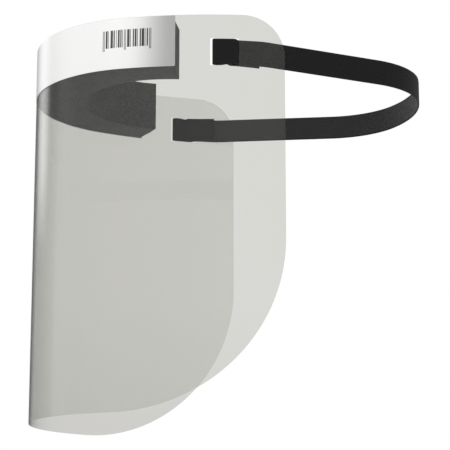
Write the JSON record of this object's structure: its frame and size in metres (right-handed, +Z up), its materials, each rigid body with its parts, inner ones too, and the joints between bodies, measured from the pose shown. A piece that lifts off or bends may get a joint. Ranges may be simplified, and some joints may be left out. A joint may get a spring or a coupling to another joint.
{
  "type": "face shield",
  "caption": "Clear wrap-round face shield with a foam brow pad, a white header strip and an elastic head strap woven through side slots.",
  "frame": {"origin": "middle of the foam pad's inner face, where the forehead rests", "axes": "+Y points back through the head from the forehead, +X is the wearer's left, +Z is up, square to the strap"},
  "size_m": [0.1728, 0.239, 0.229],
  "materials": {
    "clear_film": "clear glossy extruded film",
    "brow_foam": "dark grey open-cell polyurethane foam, matt",
    "foam_tape": "double-sided adhesive tape",
    "header_label": "white gloss self-adhesive film",
    "elastic": "black knitted elastic webbing"
  },
  "bodies": {
    "shield": {"visor": "clear_film", "brow_foam": "brow_foam", "foam_tape": "foam_tape", "header_label": "header_label", "strap_weave_left": "elastic", "strap_weave_right": "elastic"},
    "strap_arms": {"strap_root_left": "elastic", "strap_root_right": "elastic", "strap_side_left": "elastic", "strap_side_right": "elastic"},
    "strap_bow": {"strap_back": "elastic"}
  },
  "joints": [
    {"name": "strap_swing", "type": "hinge", "parent": "shield", "child": "strap_arms", "pos_m": [0, 0.07916, -0.0069], "axis": [1, 0, 0], "range_deg": [-25, 25], "stiffness_Nm_per_rad": 0.03, "springref_deg": 8.02},
    {"name": "strap_stretch", "type": "slide", "parent": "strap_arms", "child": "strap_bow", "axis": [0, 1, 0], "range_m": [0, 0.05], "stiffness_N_per_m": 80, "deforming": ["strap_side_left", "strap_side_right"]}
  ]
}
